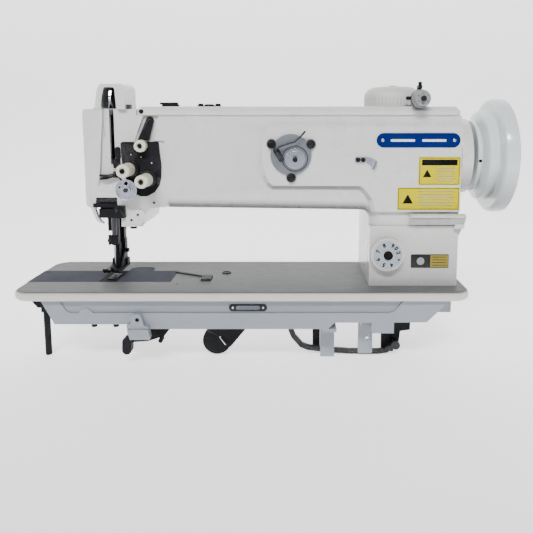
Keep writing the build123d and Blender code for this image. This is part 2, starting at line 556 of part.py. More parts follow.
with BuildPart() as tension_posts:
    disc(front(-36.5), NUT_1[0], NUT_1[1], 3.0, 94 - 36.5)
    disc(front(-36.5), NUT_2[0], NUT_2[1], 3.0, 94 - 36.5)
    disc(front(-36.5), NUT_0[0], NUT_0[1], 3.0, 57.5 - 36.5)
    disc(front(-36.5), ROTARY[0], ROTARY[1], 3.0, 66.5 - 36.5)
    # discs, hubs and springs on the posts
    for (u, v) in (NUT_1, NUT_2):
        ring(front(-50), u, v, 11.0, 3.0, 1.0)
        ring(front(-52), u, v, 10.0, 3.0, 0.9)
        ring(front(-53.9), u, v, 11.0, 3.0, 1.0)
        ring(front(-45), u, v, 6.5, 3.0, 4.9)
        ring(front(-55), u, v, 7.6, 5.6, 6.6)
save(tension_posts, "tension_posts")


def tension_nut(u, v, y0, length, r_back, r_front, bore):
    with BuildSketch(front(y0)) as a:
        with Locations((u, v)):
            Circle(r_back)
        with Locations((u, v)):
            with PolarLocations(r_back + 0.35, 28):
                Circle(0.6, mode=Mode.SUBTRACT)
    extrude(a.sketch, amount=length - 2.0)
    disc(front(y0 - length + 2.0), u, v, r_front, 2.0)
    disc(front(y0 + 1), u, v, bore + RUN, length + 4, mode=Mode.SUBTRACT)
    disc(front(y0 - length + 1.6), u, v, 4.4, 4, mode=Mode.SUBTRACT)


with BuildPart() as tension_nut_left:
    tension_nut(NUT_1[0], NUT_1[1], -62, 31, 9.2, 8.2, 3.0)
save(tension_nut_left, "tension_nut_left")
with BuildPart() as tension_nut_right:
    tension_nut(NUT_2[0], NUT_2[1], -62, 31, 9.2, 8.2, 3.0)
save(tension_nut_right, "tension_nut_right")
with BuildPart() as pretension_nut:
    tension_nut(NUT_0[0], NUT_0[1], -47, 10.5, 8.6, 8.1, 3.0)
save(pretension_nut, "pretension_nut")

with BuildPart() as rotary_disc:
    ring(front(-55), ROTARY[0], ROTARY[1], 15.0, 3.0 + RUN, 7)
    ring(front(-61), ROTARY[0], ROTARY[1], 13.6, 9.0, 3, mode=Mode.SUBTRACT)
    disc(front(-50), ROTARY[0], ROTARY[1] + 9.4, 2.6, 20, mode=Mode.SUBTRACT)
    disc(front(-50), ROTARY[0] - 9.2, ROTARY[1] + 4.0, 1.6, 20, mode=Mode.SUBTRACT)
    disc(front(-62), ROTARY[0], ROTARY[1], 6.5, 2.4)
    disc(front(-40), ROTARY[0], ROTARY[1], 3.0 + RUN, 40, mode=Mode.SUBTRACT)
save(rotary_disc, "rotary_disc")

with BuildPart() as thread_guides:
    # pronged guide across the front of the head
    bar(front(HEAD_Y0), [(20, 163), (8, 160.5), (-0.8, 160.5)], 2.2, 9)
    bar(front(HEAD_Y0), [(20, 160), (8, 156.2), (-0.8, 155.8)], 2.2, 9)
    slab(front(HEAD_Y0), 16, 24, 157, 166, 3)
    # guide beside the left tension post and the tab above it
    slab(front(HEAD_Y0), 17.3, 26.2, 170.8, 184.5, 5, r=1.5)
    disc(front(-48), 21.8, 179, 2.4, 2.4)
    slab(front(HEAD_Y0), 19.7, 27.2, 184.3, 200.6, 3, r=3)
    # long link plate above the first post
    poly(front(-43.6), [(65.3, 239.5), (75.7, 236), (68.3, 210), (52.3, 210)], 2.6)
    disc(front(-43.6), 70.5, 237.8, 5.5, 2.6)
    disc(front(-46.2), 70.5, 237.8, 3.2, 1.6)
    # check spring and the base ring of the rotary disc
    ring(front(-46), ROTARY[0], ROTARY[1], 12.5, 3.0, 8)
    bar(front(-48), [(30, 152), (24, 160), (18.5, 163)], 2.0, 2.0)
    # top of the arm
    slab(level(HEAD_TOP + 0.1), 38, 43, -44, -34, 6.1)
    bar(level(COVER_TOP + 0.1), [(86, -20), (104, -20)], 7, 3.2)
    bar(level(COVER_TOP + 3.3), [(82.5, -20), (103, -20)], 6, 2.8)
    slab(level(COVER_TOP + 0.1), 134, 168, -27, -11, 2.0, r=4)
    disc(level(COVER_TOP + 2.1), 138.5, -19, 3.6, 2.4)
    disc(level(COVER_TOP + 2.1), 163.5, -19, 3.6, 2.4)
    slab(level(COVER_TOP + 2.1), 145, 157, -24, -14, 1.6, r=2)
save(thread_guides, "thread_guides")

with BuildPart() as window_guides:
    # thread guide block, finger lever and clamp block in the head window
    slab(front(-37), -6.5, 17, 98.6, 126, 2.5)
    slab(front(-38), -10.5, 19, 121, 128, 3)
    slab(front(-39), -9, 17, 114.3, 120, 6)
    slab(front(-43.1), -14.3, 19.4, 114.3, 120, 3.9, r=1.5)
    slab(front(-36), -7, 18, 98.6, 112, 8, r=1.5)
    slab(front(-43.1), 16.3, 31.2, 99.1, 116.9, 6.4, r=1.5)
    disc(front(-49.5), 24, 112.5, 3.2, 1.4)
save(window_guides, "window_guides")

with BuildPart() as head_screws:
    disc(level(79), 35.5, -20, 5.0, 6.75)
    disc(level(82), 46, -18, 3.4, 3.75)
    # slotted screws of the winder plate
    for (u, v) in WINDER_SCREWS:
        disc(front(PANEL_Y - 3.05), u, v, 6.2, 2.4)
        slab(front(PANEL_Y - 4.4), u - 7, u + 7, v - 0.7, v + 0.7, 3, mode=Mode.SUBTRACT)
    # screws of the thread cutter
    for (u, v) in ((363, 183.2), (370.2, 183.2)):
        disc(front(PANEL_Y - 1.95), u, v, 3.3, 2.2)
    # bolt heads under the front wall
    disc(level(-54), -12, -69, 4.0, 4.5)
    disc(level(-54), 19, -69, 4.0, 4.5)
save(head_screws, "machine_screws")

# ---------------------------------------------------------------------------
# Bobbin winder on the arm
# ---------------------------------------------------------------------------
with BuildPart() as winder_plate:
    with BuildSketch(front(PANEL_Y - 0.05)) as sk_p:
        with Locations(WINDER):
            Circle(28.7)
        with Locations(*WINDER_SCREWS):
            Circle(7.2)
        with Locations(SPINDLE, (253.6, 188.4)):
            Circle(3.0 + RUN, mode=Mode.SUBTRACT)
    extrude(sk_p.sketch, amount=3.0)
save(winder_plate, "winder_plate")

with BuildPart() as winder_spindle:
    disc(front(-25), SPINDLE[0], SPINDLE[1], 3.0, 50)
    disc(front(PANEL_Y - 3.4), SPINDLE[0], SPINDLE[1], 14.2, 4.5)
    disc(front(PANEL_Y - 7.9), SPINDLE[0], SPINDLE[1], 11.0, 1.6)
    disc(front(-70), SPINDLE[0], SPINDLE[1], 3.2, 7)
    disc(front(-22), SPINDLE[0], SPINDLE[1], 12.0, 5)
save(winder_spindle, "winder_spindle")

with BuildPart() as winder_lever:
    disc(front(-30), 253.6, 188.4, 3.0, 30)
    bar(front(PANEL_Y - 3.4), [(248.3, 196.6), (255.6, 184.6)], 8, 5)
    bar(front(PANEL_Y - 10.5), [(246, 198.5), (256.4, 203.1), (274.6, 208.9), (282.1, 215.5), (288.3, 222.9)], 2.4, 2.2)
    disc(front(PANEL_Y - 8.2), 247.0, 198.0, 2.6, 4.4)
save(winder_lever, "winder_lever")

with BuildPart() as thread_cutter:
    poly(front(PANEL_Y - 0.05), [(359, 187), (376, 187.3), (384, 185), (390.5, 180.5), (388, 170.5), (383, 169),
                                 (381.5, 175), (376, 179.2), (359, 179.5)], 1.8)
    bar(front(PANEL_Y - 1.8), [(389.2, 180.2), (386, 170.6)], 1.6, 4.0)
save(thread_cutter, "thread_cutter")

with BuildPart() as winder_tension:
    # bracket on the top cover, post, rear disc and the tall guide post
    slab(level(COVER_TOP + 0.1), 443, 456, -44, -31, 2.4)
    slab(front(-44), 443, 456, COVER_TOP + 0.1, 276, 2.5, r=1)
    disc(front(-44), WINDER_DIAL[0], WINDER_DIAL[1], 3.0, 29)
    ring(front(-48), WINDER_DIAL[0], WINDER_DIAL[1], 13.0, 2.5, 1.2)
    ring(front(-50), WINDER_DIAL[0], WINDER_DIAL[1], 11.0, 2.5, 1.2)
    ring(front(-46), WINDER_DIAL[0], WINDER_DIAL[1], 6.0, 2.5, 4.5)
    # tall guide post with its tip, and the flat spring
    slab(front(-44), 445, 450.4, 274, 286, 7.5)
    slab(front(-50), 445, 450.4, 282, 286, 5)
    disc(level(286), 447.5, -53, 2.6, 5.0)
    slab(front(-44.5), 430, 446, 266.5, 271.5, 1.6, r=1)
save(winder_tension, "winder_tension")

with BuildPart() as winder_tension_dial:
    with BuildSketch(front(-52)) as sk_n:
        with Locations(WINDER_DIAL):
            Circle(12.6)
    extrude(sk_n.sketch, amount=17, taper=6.4)
    disc(front(-45), WINDER_DIAL[0], WINDER_DIAL[1], 3.0 + RUN, 40, mode=Mode.SUBTRACT)
save(winder_tension_dial, "winder_tension_dial")

# ---------------------------------------------------------------------------
# Controls on the column and the top
# ---------------------------------------------------------------------------
with BuildPart() as stitch_dial:
    disc(front(-24), DIAL_X, DIAL_Z, 6.0, 30)
    disc(front(-50.4), DIAL_X, DIAL_Z, 23.7, 12)
    with BuildSketch(front(-50.4)) as sk_r:
        with Locations((DIAL_X, DIAL_Z)):
            with PolarLocations(24.2, 60):
                Circle(0.75)
    extrude(sk_r.sketch, amount=12, mode=Mode.SUBTRACT)
    disc(front(-62.4), DIAL_X, DIAL_Z, 21.0, 2.2)
    disc(front(-64.6), DIAL_X, DIAL_Z, 6.6, 1.6)
save(stitch_dial, "stitch_dial")

with BuildPart() as reverse_lever:
    # side arm with its axle, and the paddle across the front of the column
    disc(side(501), 12, 40, 4.0, 15)
    disc(side(510), 12, 40, 9.0, 5)
    bar(side(510), [(12, 40), (-20, 66), (-54, 97)], 10, 5)
    poly(side(438), [(-53.5, 106.5), (-60, 107), (-65, 105), (-65.5, 102.5), (-63, 100), (-57.5, 91), (-54, 91)], 77)
    slab(front(-53.8), 501, 515, 85.5, 92, 5, r=1.5)
save(reverse_lever, "reverse_lever")

with BuildPart() as lift_dial:
    # domed body
    with BuildSketch(front(LIFT_Y)) as sk_v:
        with BuildLine():
            Polyline((LIFT_X, COVER_TOP + 0.3), (LIFT_X + LIFT_R, COVER_TOP + 0.3), (LIFT_X + LIFT_R, COVER_TOP + 15.3),
                     (LIFT_X + 41, COVER_TOP + 18.5), (LIFT_X + 39.2, COVER_TOP + 22), (LIFT_X + 36, COVER_TOP + 25),
                     (LIFT_X + 31.5, COVER_TOP + 27.4), (LIFT_X + 26, COVER_TOP + 29), (LIFT_X, COVER_TOP + 29), close=True)
        make_face()
    revolve(sk_v.sketch, axis=Axis((XN + LIFT_X, YN + LIFT_Y, ZB), (0, 0, 1)))
    with BuildSketch(level(COVER_TOP + 2.3)) as sk_l:
        with Locations((LIFT_X, LIFT_Y)):
            with PolarLocations(LIFT_R + 0.8, 48):
                Circle(1.5)
    extrude(sk_l.sketch, amount=10, mode=Mode.SUBTRACT)
    disc(level(COVER_TOP - 6), LIFT_X, LIFT_Y, 5.0, 8)
    disc(level(COVER_TOP + 27), LIFT_X, LIFT_Y, 5.6, 4.5)
save(lift_dial, "lift_dial")

with BuildPart() as name_plate:
    slab(front(PANEL_Y - 0.02), 388.9, 506.1, 200.4, 220.6, 1.0, r=10.0)
save(name_plate, "name_plate")

with BuildPart() as label_plates:
    slab(front(PANEL_Y - 0.02), 449, 507.5, 147.4, 187, 0.5, r=1)
    slab(front(PANEL_Y - 0.02), 420, 507.5, 111.8, 143.8, 0.5, r=1)
save(label_plates, "label_plates")

with BuildPart() as badges:
    slab(front(-50.02), 442, 496.3, 26.7, 46.5, 0.8, r=1)
    slab(front(-72.02), 181, 235, -30.4, -20.4, 1.2, r=4.9)
save(badges, "badges")

# ---------------------------------------------------------------------------
# Feet and levers under the bed
# ---------------------------------------------------------------------------
with BuildPart() as support_rod:
    poly(front(-14), [(-121, -BED_T - 0.1), (-92, -BED_T - 0.1), (-92, -34), (-95, -48), (-106, -48), (-106, -41),
                      (-111, -41), (-120, -30)], 14)
    disc(level(FLOOR), -100.6, -21, 4.8, 90)
    fillet(support_rod.edges().group_by(Axis.Z)[0], 1)
save(support_rod, "support_rod")

with BuildPart() as front_foot:
    slab(level(FLOOR), 313, 334, -30, -24.5, 60)
    slab(level(-61), 313, 334, -74, -24.5, 4.5)
    disc(front(-20), 323.5, -75, 2.6, 20, mode=Mode.SUBTRACT)
    # lug of the bell crank
    poly(front(-74.05), [(44, -39.5), (43.5, -46), (37.6, -48), (39.7, -58.3), (42.6, -68.2), (70, -68.2), (70.7, -65.5),
                         (67.9, -50.5), (62.3, -48.5), (59.5, -39.5)], 9)
    disc(front(-74.05), 51.7, -39.5, 7.8, 9)
    poly(front(-83), [(38.6, -53.5), (39.7, -58.3), (42.6, -68.2), (70, -68.2), (70.7, -65.5), (68.6, -53.5)], 2.4)
    disc(front(-60), LUG[0], LUG[1], 3.0, 40, mode=Mode.SUBTRACT)
save(front_foot, "front_brackets")

with BuildPart() as right_foot:
    slab(front(-24.5), 370, 391.4, -111.2, -49, 5.5, r=1.5)
    slab(level(-55), 370, 391.4, -66, 76, 6)
    disc(front(-10), 383.5, -88, 2.9, 30, mode=Mode.SUBTRACT)
save(right_foot, "right_bracket")

with BuildPart() as rear_feet:
    slab(level(FLOOR), 302.5, 313.5, -8, 4, 67)
    slab(level(-55.5), 302.5, 313.5, -8, 82, 6)
    slab(level(FLOOR), 11, 21, 56, 66, 67)
    slab(level(-55.5), 11, 21, 56, 82, 6)
    slab(level(FLOOR), 424, 436, 60, 70, 67)
    slab(level(-55.5), 424, 436, -6, 82, 8.8)
    # hanger of the knee lever and black bracket of the treadle bar
    slab(front(-4), 190, 216, -72, -BED_T, 6.5)
    disc(front(0), 203, -64, 4.0 + RUN, 30, mode=Mode.SUBTRACT)
    poly(front(-4), [(408, -47.5), (452, -47.5), (452, -82), (437, -84), (434.5, -106), (427, -109), (427, -116.5),
                     (408, -116.5)], 6.5)
    slab(front(-4), 400, 440, -47.5, -40, 6.5)
    disc(front(0), 428, -101, 4.0 + RUN, 30, mode=Mode.SUBTRACT)
save(rear_feet, "black_brackets")

with BuildPart() as bell_crank:
    disc(front(-52), LUG[0], LUG[1], 2.95, 30)
    poly(front(-55), [(43, -37), (59, -37), (61, -59), (95.5, -59), (83.7, -74.4), (77, -75), (61.2, -80.2),
                      (38, -81.7), (33, -84), (26, -80), (26.3, -77), (32, -71.5), (40, -60)], 5)
    disc(front(-52), 80.4, -78, 3.3, 12)
    bar(front(-51), [(31.6, -80), (31, -92.4)], 13.4, 13)
save(bell_crank, "bell_crank")

with BuildPart() as knee_lever:
    with BuildSketch(front(-16)) as sk_q:
        with BuildLine():
            Polyline((143, -77), (168, -58), (212, -58), (206, -68), (178, -102), (160, -113), (150, -112), close=True)
        make_face()
        with Locations((157, -92.5)):
            Circle(21.5)
    extrude(sk_q.sketch, amount=10)
    bar(front(-26), [(164, -88), (172, -98)], 3.0, 1.2)
    disc(front(-4.5), 203, -64, 3.95, 22)
save(knee_lever, "knee_lever")

with BuildPart() as treadle_bar:
    bar(front(-16), [(268.5, -77), (273, -88), (285, -102), (295, -106), (310, -108), (336, -110.5), (359, -112),
                     (382, -112.2), (402, -112.2), (414, -110.5), (428, -101)], 7.5, 6)
    disc(front(-4.5), 428, -101, 3.95, 19)
    disc(front(-22), 428, -101, 6.5, 4)
save(treadle_bar, "treadle_bar")
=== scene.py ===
import bpy
import bmesh
import json
import math
import random
from mathutils import Matrix, Vector


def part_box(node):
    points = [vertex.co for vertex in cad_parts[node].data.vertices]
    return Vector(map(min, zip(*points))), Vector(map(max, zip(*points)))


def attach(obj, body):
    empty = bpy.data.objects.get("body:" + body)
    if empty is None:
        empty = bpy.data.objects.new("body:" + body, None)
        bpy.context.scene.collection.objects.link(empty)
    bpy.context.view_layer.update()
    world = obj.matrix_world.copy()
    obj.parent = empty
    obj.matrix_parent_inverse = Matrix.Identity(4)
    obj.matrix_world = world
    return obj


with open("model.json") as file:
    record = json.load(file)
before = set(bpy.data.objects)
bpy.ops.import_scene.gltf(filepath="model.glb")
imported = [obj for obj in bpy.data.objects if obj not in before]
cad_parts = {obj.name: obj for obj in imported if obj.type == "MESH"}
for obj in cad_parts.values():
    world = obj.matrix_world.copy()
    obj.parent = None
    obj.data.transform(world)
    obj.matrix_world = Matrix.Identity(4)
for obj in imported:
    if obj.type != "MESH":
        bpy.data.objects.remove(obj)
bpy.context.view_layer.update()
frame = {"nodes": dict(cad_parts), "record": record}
NODES = frame["nodes"]
BODY = {}
for body, members in (frame["record"]["behaviour"]["bodies"]).items():
    for m in members:
        BODY[m] = body
random.seed(7)

# the needle's line on the bed surface is the datum of all the sizes below, in millimetres
lo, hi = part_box("needle")
XN, YN = (lo[0] + hi[0]) / 2, (lo[1] + hi[1]) / 2
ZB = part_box("needle_plate")[1][2]


def W(x, y, z):
    return Vector((XN + x / 1000, YN + y / 1000, ZB + z / 1000))


def mm(node):
    """Box of a part in millimetres from the needle datum."""
    a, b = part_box(node)
    return ([(a[0] - XN) * 1000, (a[1] - YN) * 1000, (a[2] - ZB) * 1000],
            [(b[0] - XN) * 1000, (b[1] - YN) * 1000, (b[2] - ZB) * 1000])


def centre(node):
    a, b = mm(node)
    return [(a[i] + b[i]) / 2 for i in range(3)]


# ---------------------------------------------------------------------------
# materials
# ---------------------------------------------------------------------------
def new_mat(name):
    m = bpy.data.materials.new(name)
    m.use_nodes = True
    nt = m.node_tree
    for n in list(nt.nodes):
        nt.nodes.remove(n)
    out = nt.nodes.new("ShaderNodeOutputMaterial")
    b = nt.nodes.new("ShaderNodeBsdfPrincipled")
    nt.links.new(b.outputs[0], out.inputs[0])
    tc = nt.nodes.new("ShaderNodeTexCoord")
    return m, nt, b, tc.outputs["Object"]


def noise(nt, vec, scale, detail=3.0, rough=0.5, stretch=None):
    if stretch:
        mp = nt.nodes.new("ShaderNodeMapping")
        mp.inputs["Scale"].default_value = stretch
        nt.links.new(vec, mp.inputs["Vector"])
        vec = mp.outputs[0]
    n = nt.nodes.new("ShaderNodeTexNoise")
    n.inputs["Scale"].default_value = scale
    n.inputs["Detail"].default_value = detail
    n.inputs["Roughness"].default_value = rough
    nt.links.new(vec, n.inputs["Vector"])
    return n.outputs["Fac"]


def remap(nt, fac, a, b, lo_=0.3, hi_=0.7):
    r = nt.nodes.new("ShaderNodeMapRange")
    r.inputs["From Min"].default_value = lo_
    r.inputs["From Max"].default_value = hi_
    r.inputs["To Min"].default_value = a
    r.inputs["To Max"].default_value = b
    nt.links.new(fac, r.inputs["Value"])
    return r.outputs[0]


def mix_rgba(nt, fac, a, b):
    m = nt.nodes.new("ShaderNodeMix")
    m.data_type = "RGBA"
    nt.links.new(fac, m.inputs[0])
    for i, v in ((6, a), (7, b)):
        if isinstance(v, (tuple, list)):
            m.inputs[i].default_value = (v[0], v[1], v[2], 1)
        else:
            nt.links.new(v, m.inputs[i])
    return m.outputs[2]


def bump(nt, bsdf, pairs):
    prev = None
    for height, strength, dist in pairs:
        bn = nt.nodes.new("ShaderNodeBump")
        bn.inputs["Strength"].default_value = strength
        bn.inputs["Distance"].default_value = dist
        nt.links.new(height, bn.inputs["Height"])
        if prev is not None:
            nt.links.new(prev, bn.inputs["Normal"])
        prev = bn.outputs[0]
    nt.links.new(prev, bsdf.inputs["Normal"])


def edge(nt, lo_, hi_):
    g = nt.nodes.new("ShaderNodeNewGeometry")
    return remap(nt, g.outputs["Pointiness"], 0.0, 1.0, lo_, hi_)


def times(nt, a, b):
    m = nt.nodes.new("ShaderNodeMath")
    m.operation = "MULTIPLY"
    nt.links.new(a, m.inputs[0])
    if isinstance(b, float):
        m.inputs[1].default_value = b
    else:
        nt.links.new(b, m.inputs[1])
    return m.outputs[0]


def tint(c, k):
    return tuple(min(1.0, v * k) for v in c)


def downward(nt, amount):
    """Painted shade on the undersides: 0 on upright and top faces, amount on faces that look down."""
    g = nt.nodes.new("ShaderNodeNewGeometry")
    sep = nt.nodes.new("ShaderNodeSeparateXYZ")
    nt.links.new(g.outputs["Normal"], sep.inputs[0])
    return remap(nt, sep.outputs[2], amount, 0.0, -0.85, -0.12)


def near_bed(nt, vec, amount):
    """Painted shade that deepens towards the bed: amount at the bed, nothing above 105 mm."""
    sep = nt.nodes.new("ShaderNodeSeparateXYZ")
    nt.links.new(vec, sep.inputs[0])
    return remap(nt, sep.outputs[2], amount, 0.0, ZB - 0.002, ZB + 0.105)


def paint(name, base, rough=0.3, coat=0.35, var=0.05, peel=0.06, wear=(0.0, None), grime=0.12, under=0.85, foot=0.0):
    """Sprayed enamel: orange peel, faint colour drift, soft grime, painted shade in the concave corners and on the
    undersides (and towards the bed where asked), wear on the edges.
    """
    m, nt, b, vec = new_mat(name)
    big = noise(nt, vec, 9.0, 4.0, 0.55)
    small = noise(nt, vec, 70.0, 4.0, 0.6)
    col = mix_rgba(nt, remap(nt, big, 0, 1), tint(base, 1 - var), tint(base, 1 + var * 0.6))
    col = mix_rgba(nt, times(nt, remap(nt, small, 0, 1, 0.45, 0.8), grime), col, tint(base, 0.72))
    # painted shade: concave corners are darkened towards 0.4 of the base colour
    corner_shade_mask = edge(nt, 0.498, 0.44)
    col = mix_rgba(nt, times(nt, corner_shade_mask, 0.55), col, tint(base, 0.4))
    # painted shade: faces that look down darken towards 0.16 of the base colour, by the amount under
    col = mix_rgba(nt, downward(nt, under), col, tint(base, 0.16))
    # painted shade towards the bed: the paint darkens towards 0.35 of the base colour, by the amount foot
    if foot > 0:
        col = mix_rgba(nt, near_bed(nt, vec, foot), col, tint(base, 0.35))
    if wear[1] is not None:
        scr = noise(nt, vec, 240.0, 5.0, 0.7)
        col = mix_rgba(nt, times(nt, times(nt, edge(nt, 0.54, 0.62), remap(nt, scr, 0, 1, 0.5, 0.62)), wear[0]), col, wear[1])
    nt.links.new(col, b.inputs["Base Color"])
    nt.links.new(remap(nt, noise(nt, vec, 28.0, 5.0, 0.6), rough - 0.06, rough + 0.09), b.inputs["Roughness"])
    b.inputs["Coat Weight"].default_value = coat
    b.inputs["Coat Roughness"].default_value = 0.12
    bump(nt, b, [(noise(nt, vec, 420.0, 2.0, 0.5), peel, 0.0006), (noise(nt, vec, 35.0, 2.0, 0.5), peel * 1.2, 0.002)])
    return m


def metal(name, base, rough=0.25, grain=(1, 1, 30), var=0.10, edge_lift=0.2, scale=60.0, bumpy=0.05):
    """Bare steel: drawn grain, uneven sheen, brighter worn edges, painted shade in the concave corners."""
    m, nt, b, vec = new_mat(name)
    b.inputs["Metallic"].default_value = 1.0
    g = noise(nt, vec, scale, 5.0, 0.65, stretch=grain)
    big = noise(nt, vec, 14.0, 4.0, 0.6)
    col = mix_rgba(nt, remap(nt, big, 0, 1), tint(base, 1 - var), tint(base, 1 + var))
    col = mix_rgba(nt, times(nt, remap(nt, g, 0, 1), 0.25), col, tint(base, 0.75))
    col = mix_rgba(nt, times(nt, edge(nt, 0.53, 0.62), edge_lift), col, tint(base, 1.6))
    # painted shade: concave corners darken towards 0.4 of the base colour
    col = mix_rgba(nt, times(nt, edge(nt, 0.49, 0.42), 0.5), col, tint(base, 0.4))
    nt.links.new(col, b.inputs["Base Color"])
    nt.links.new(remap(nt, g, rough - 0.08, rough + 0.12), b.inputs["Roughness"])
    bump(nt, b, [(g, bumpy, 0.0004)])
    return m


def bed_enamel(name, top, lip):
    """Bed enamel: a duller work surface on top whose dark grey is painted shade, clean paint on the rim below it."""
    m, nt, b, vec = new_mat(name)
    sep = nt.nodes.new("ShaderNodeSeparateXYZ")
    nt.links.new(vec, sep.inputs[0])
    # painted shade: above the rim the bed takes the dark top colour, far below the pale lip paint of the same enamel
    up = remap(nt, sep.outputs[2], 0.0, 1.0, ZB - 0.0022, ZB - 0.0006)
    big = noise(nt, vec, 8.0, 4.0, 0.6)
    rub = noise(nt, vec, 45.0, 5.0, 0.65, stretch=(1, 5, 1))
    a = mix_rgba(nt, remap(nt, big, 0, 1), tint(top, 0.9), tint(top, 1.08))
    a = mix_rgba(nt, times(nt, remap(nt, rub, 0, 1, 0.5, 0.75), 0.25), a, tint(top, 0.75))
    c = mix_rgba(nt, remap(nt, big, 0, 1), tint(lip, 0.95), tint(lip, 1.03))
    col = mix_rgba(nt, up, c, a)
    nt.links.new(col, b.inputs["Base Color"])
    nt.links.new(remap(nt, rub, 0.40, 0.56), b.inputs["Roughness"])
    b.inputs["Specular IOR Level"].default_value = 0.15
    bump(nt, b, [(noise(nt, vec, 420.0, 2.0, 0.5), 0.05, 0.0006), (rub, 0.04, 0.0006)])
    return m


def slate(name, base, rough=0.5):
    """Dull slate-coloured slide plates: fine cross grain, rubbed patches."""
    m, nt, b, vec = new_mat(name)
    b.inputs["Metallic"].default_value = 0.0
    b.inputs["Specular IOR Level"].default_value = 0.06
    g = noise(nt, vec, 90.0, 5.0, 0.65, stretch=(1, 14, 1))
    big = noise(nt, vec, 16.0, 4.0, 0.6)
    col = mix_rgba(nt, remap(nt, big, 0, 1), tint(base, 0.82), tint(base, 1.2))
    col = mix_rgba(nt, times(nt, remap(nt, g, 0, 1), 0.4), col, tint(base, 0.65))
    nt.links.new(col, b.inputs["Base Color"])
    nt.links.new(remap(nt, g, rough - 0.06, rough + 0.1), b.inputs["Roughness"])
    bump(nt, b, [(g, 0.05, 0.0004)])
    return m


def blackened(name, base=(0.010, 0.0102, 0.012), rough=0.44, metallic=0.1, wearc=(0.12, 0.12, 0.125), spec=0.10):
    """Black oxide steel: near-black film, speckle, rubbed edges where the steel shows through."""
    m, nt, b, vec = new_mat(name)
    b.inputs["Metallic"].default_value = metallic
    sp = noise(nt, vec, 320.0, 4.0, 0.7)
    big = noise(nt, vec, 22.0, 4.0, 0.6)
    col = mix_rgba(nt, remap(nt, big, 0, 1), tint(base, 0.8), tint(base, 1.6))
    col = mix_rgba(nt, times(nt, remap(nt, sp, 0, 1, 0.55, 0.75), 0.15), col, tint(base, 2.4))
    col = mix_rgba(nt, times(nt, times(nt, edge(nt, 0.54, 0.64), remap(nt, sp, 0.3, 1, 0.4, 0.6)), 0.45), col, wearc)
    nt.links.new(col, b.inputs["Base Color"])
    nt.links.new(remap(nt, noise(nt, vec, 60.0, 5.0, 0.6), rough - 0.1, rough + 0.14), b.inputs["Roughness"])
    b.inputs["Specular IOR Level"].default_value = spec
    bump(nt, b, [(sp, 0.08, 0.0004)])
    return m


def plastic(name, base, rough=0.4, var=0.05, sub=0.0, grainy=0.06, corner_shade=0.2, spec=0.4):
    m, nt, b, vec = new_mat(name)
    b.inputs["Specular IOR Level"].default_value = spec
    big = noise(nt, vec, 40.0, 4.0, 0.6)
    fine = noise(nt, vec, 700.0, 3.0, 0.6)
    col = mix_rgba(nt, remap(nt, big, 0, 1), tint(base, 1 - var), tint(base, 1 + var))
    # painted shade: concave corners darken towards 0.45 of the base colour, by the amount passed in
    col = mix_rgba(nt, times(nt, edge(nt, 0.497, 0.44), corner_shade), col, tint(base, 0.45))
    col = mix_rgba(nt, times(nt, edge(nt, 0.53, 0.62), 0.15), col, tint(base, 1.2))
    nt.links.new(col, b.inputs["Base Color"])
    nt.links.new(remap(nt, big, rough - 0.07, rough + 0.08), b.inputs["Roughness"])
    b.inputs["Subsurface Weight"].default_value = sub
    b.inputs["Subsurface Radius"].default_value = (0.002, 0.0015, 0.001)
    bump(nt, b, [(fine, grainy, 0.0003)])
    return m


